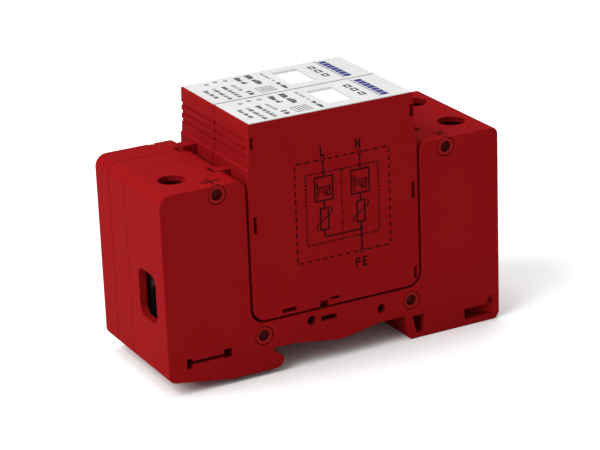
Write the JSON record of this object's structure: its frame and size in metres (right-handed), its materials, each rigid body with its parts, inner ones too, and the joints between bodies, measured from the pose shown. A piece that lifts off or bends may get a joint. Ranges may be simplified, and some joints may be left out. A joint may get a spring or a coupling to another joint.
{
  "type": "surge protector",
  "caption": "Two-pole surge protector on a riveted U-shaped DIN-rail base, with two plug-in varistor modules, screw terminals and status windows.",
  "frame": {"origin": "centre of the bounding box, on the plane of the right foot's bottom", "axes": "+X along the case from the earth tower to the line tower, +Y across the poles from the printed front face to the rear one, +Z away from the rail"},
  "size_m": [0.09, 0.036, 0.0627],
  "materials": {
    "red_plastic": "fine matt moulded texture",
    "dark_plastic": "matt",
    "rivet_metal": "nickel plated, satin",
    "terminal_steel": "zinc plated",
    "copper": "tinned and plain copper strip",
    "spring_steel": "drawn wire",
    "label_film": "printed film, satin",
    "clear_window": "clear polycarbonate",
    "varistor_coat": "dipped resin",
    "flag_plastic": "white with a red end"
  },
  "bodies": {
    "base": {"front_shell": "red_plastic", "front_inner_shell": "red_plastic", "rear_inner_shell": "red_plastic", "rear_shell": "red_plastic", "rivets": "rivet_metal", "earth_busbar": "copper", "neutral_bar": "copper", "line_bar": "copper", "front_earth_jaw": "copper", "rear_earth_jaw": "copper", "neutral_jaw": "copper", "line_jaw": "copper", "rail_clip_spring": "spring_steel"},
    "front_module": {"front_module_housing": "red_plastic", "front_module_cover": "red_plastic", "front_label": "label_film", "front_window": "clear_window", "front_varistor": "varistor_coat", "front_earth_electrode": "copper", "front_line_electrode": "copper", "front_line_blade": "copper", "front_trip_spring": "spring_steel"},
    "front_arm": {"front_disconnector_arm": "copper"},
    "front_flag": {"front_trip_slider": "flag_plastic"},
    "rear_module": {"rear_module_housing": "red_plastic", "rear_module_cover": "red_plastic", "rear_label": "label_film", "rear_window": "clear_window", "rear_varistor": "varistor_coat", "rear_earth_electrode": "copper", "rear_line_electrode": "copper", "rear_line_blade": "copper", "rear_trip_spring": "spring_steel"},
    "rear_arm": {"rear_disconnector_arm": "copper"},
    "rear_flag": {"rear_trip_slider": "flag_plastic"},
    "earth_screw": {"earth_screw": "terminal_steel"},
    "earth_cage": {"earth_cage": "terminal_steel"},
    "neutral_screw": {"neutral_screw": "terminal_steel"},
    "neutral_cage": {"neutral_cage": "terminal_steel"},
    "line_screw": {"line_screw": "terminal_steel"},
    "line_cage": {"line_cage": "terminal_steel"},
    "rail_clip": {"rail_clip": "dark_plastic"}
  },
  "joints": [
    {"name": "front_module_pull", "type": "slide", "parent": "base", "child": "front_module", "axis": [0, 0, 1], "range_m": [0, 0.052]},
    {"name": "front_arm_swing", "type": "hinge", "parent": "front_module", "child": "front_arm", "pos_m": [0.0095, -0.01245, 0.0205], "axis": [0, 1, 0], "range_deg": [0, 18.7]},
    {"name": "front_flag_slide", "type": "slide", "parent": "front_module", "child": "front_flag", "axis": [1, 0, 0], "range_m": [0, 0.008], "deforming": ["front_trip_spring"]},
    {"name": "rear_module_pull", "type": "slide", "parent": "base", "child": "rear_module", "axis": [0, 0, 1], "range_m": [0, 0.052]},
    {"name": "rear_arm_swing", "type": "hinge", "parent": "rear_module", "child": "rear_arm", "pos_m": [0.0095, 0.00535, 0.0205], "axis": [0, 1, 0], "range_deg": [0, 18.7]},
    {"name": "rear_flag_slide", "type": "slide", "parent": "rear_module", "child": "rear_flag", "axis": [1, 0, 0], "range_m": [0, 0.008], "deforming": ["rear_trip_spring"]},
    {"name": "earth_screw_turn", "type": "hinge", "parent": "base", "child": "earth_screw", "pos_m": [-0.0374, -0.0087, 0.038], "axis": [0, 0, -1], "range_deg": [0, 2250]},
    {"name": "earth_cage_lift", "type": "slide", "parent": "base", "child": "earth_cage", "axis": [0, 0, 1], "range_m": [0, 0.005]},
    {"name": "neutral_screw_turn", "type": "hinge", "parent": "base", "child": "neutral_screw", "pos_m": [0.038, -0.0079, 0.038], "axis": [0, 0, -1], "range_deg": [0, 2250]},
    {"name": "neutral_cage_lift", "type": "slide", "parent": "base", "child": "neutral_cage", "axis": [0, 0, 1], "range_m": [0, 0.005]},
    {"name": "line_screw_turn", "type": "hinge", "parent": "base", "child": "line_screw", "pos_m": [0.038, 0.0101, 0.038], "axis": [0, 0, -1], "range_deg": [0, 2250]},
    {"name": "line_cage_lift", "type": "slide", "parent": "base", "child": "line_cage", "axis": [0, 0, 1], "range_m": [0, 0.005]},
    {"name": "rail_clip_slide", "type": "slide", "parent": "base", "child": "rail_clip", "axis": [1, 0, 0], "range_m": [0, 0.0025], "stiffness_N_per_m": 300, "springref_m": -0.001, "deforming": ["rail_clip_spring"]}
  ],
  "couplings": [
    {"joint": "front_flag_slide", "follows": "front_arm_swing", "m_per_rad": 0.0244},
    {"joint": "rear_flag_slide", "follows": "rear_arm_swing", "m_per_rad": 0.0244},
    {"joint": "earth_screw_turn", "follows": "earth_cage_lift", "rad_per_m": 7854},
    {"joint": "neutral_screw_turn", "follows": "neutral_cage_lift", "rad_per_m": 7854},
    {"joint": "line_screw_turn", "follows": "line_cage_lift", "rad_per_m": 7854}
  ]
}
